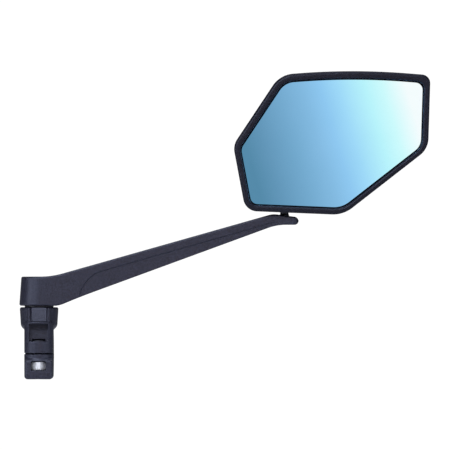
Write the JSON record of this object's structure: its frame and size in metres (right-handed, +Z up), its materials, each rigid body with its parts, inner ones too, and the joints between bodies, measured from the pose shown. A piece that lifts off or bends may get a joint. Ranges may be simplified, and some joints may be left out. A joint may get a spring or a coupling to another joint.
{
  "type": "bike mirror",
  "caption": "Handlebar mirror: hinged bar clamp, long arm that swings on a friction pivot, ball joint and six-sided convex blue mirror head.",
  "frame": {"origin": "centre of the handlebar bore, midway along the clamp's width", "axes": "+X along the handlebar towards the mirror head, +Y away from the rider, +Z up"},
  "size_m": [0.2835, 0.0476, 0.2126],
  "materials": {
    "nylon": "fine spark-eroded texture, dark blue-black",
    "liner_rubber": "matt, soft",
    "acetal": "smooth, slightly waxy",
    "steel": "bright stainless",
    "black_steel": "black zinc, satin",
    "brass": "turned and knurled",
    "blue_mirror": "blue anti-glare mirror coating, polished",
    "foam": "closed-cell adhesive foam"
  },
  "bodies": {
    "base": {"clamp_upper": "nylon", "clamp_liner_upper": "liner_rubber", "hinge_pin": "steel", "clamp_washer": "steel", "pivot_bolt": "steel", "friction_washer": "acetal", "disc_spring": "steel", "pivot_nut": "steel"},
    "jaw": {"clamp_lower": "nylon", "clamp_liner_lower": "liner_rubber"},
    "bolt": {"clamp_bolt": "black_steel"},
    "bolt_nut": {"clamp_nut": "steel"},
    "arm": {"arm_beam": "nylon", "hub_bushing": "acetal", "hub_washer": "steel", "hub_cap": "nylon"},
    "stud": {"ball_stud": "black_steel", "stud_screw": "black_steel", "stud_washer": "steel"},
    "liner": {"socket_liner": "acetal"},
    "head": {"head_housing": "nylon", "mirror_glass": "blue_mirror", "glass_pad": "foam", "socket_clamp": "nylon", "socket_screw_left": "black_steel", "socket_screw_right": "black_steel", "socket_insert_left": "brass", "socket_insert_right": "brass"}
  },
  "joints": [
    {"name": "arm_swing", "type": "hinge", "parent": "base", "child": "arm", "pos_m": [0, 0, 0.0428], "axis": [0, 0, 1], "continuous": true},
    {"name": "stud_swivel", "type": "hinge", "parent": "arm", "child": "stud", "pos_m": [0.1692, 0, 0.093], "axis": [0, 0, 1], "range_deg": [-90, 90]},
    {"name": "head_tilt", "type": "hinge", "parent": "stud", "child": "liner", "pos_m": [0.1692, 0, 0.1064], "axis": [1, 0, 0], "range_deg": [-20, 10]},
    {"name": "head_roll", "type": "hinge", "parent": "liner", "child": "head", "pos_m": [0.1692, 0, 0.1064], "axis": [0, 1, 0], "range_deg": [-7.5, 7.5]},
    {"name": "clamp_bolt_turn", "type": "hinge", "parent": "base", "child": "bolt", "pos_m": [0, -0.018, 0], "axis": [0, 0, 1], "range_deg": [-90, 720]},
    {"name": "nut_travel", "type": "slide", "parent": "base", "child": "bolt_nut", "axis": [0, 0, 1], "range_m": [-0.002, 0.00025]},
    {"name": "jaw_hinge", "type": "hinge", "parent": "base", "child": "jaw", "pos_m": [0, 0.019, 0], "axis": [1, 0, 0], "range_deg": [-0.39, 3.1]}
  ],
  "couplings": [
    {"joint": "nut_travel", "follows": "clamp_bolt_turn", "m_per_rad": -0.00015915},
    {"joint": "jaw_hinge", "follows": "clamp_bolt_turn", "ratio": 0.0043015}
  ]
}
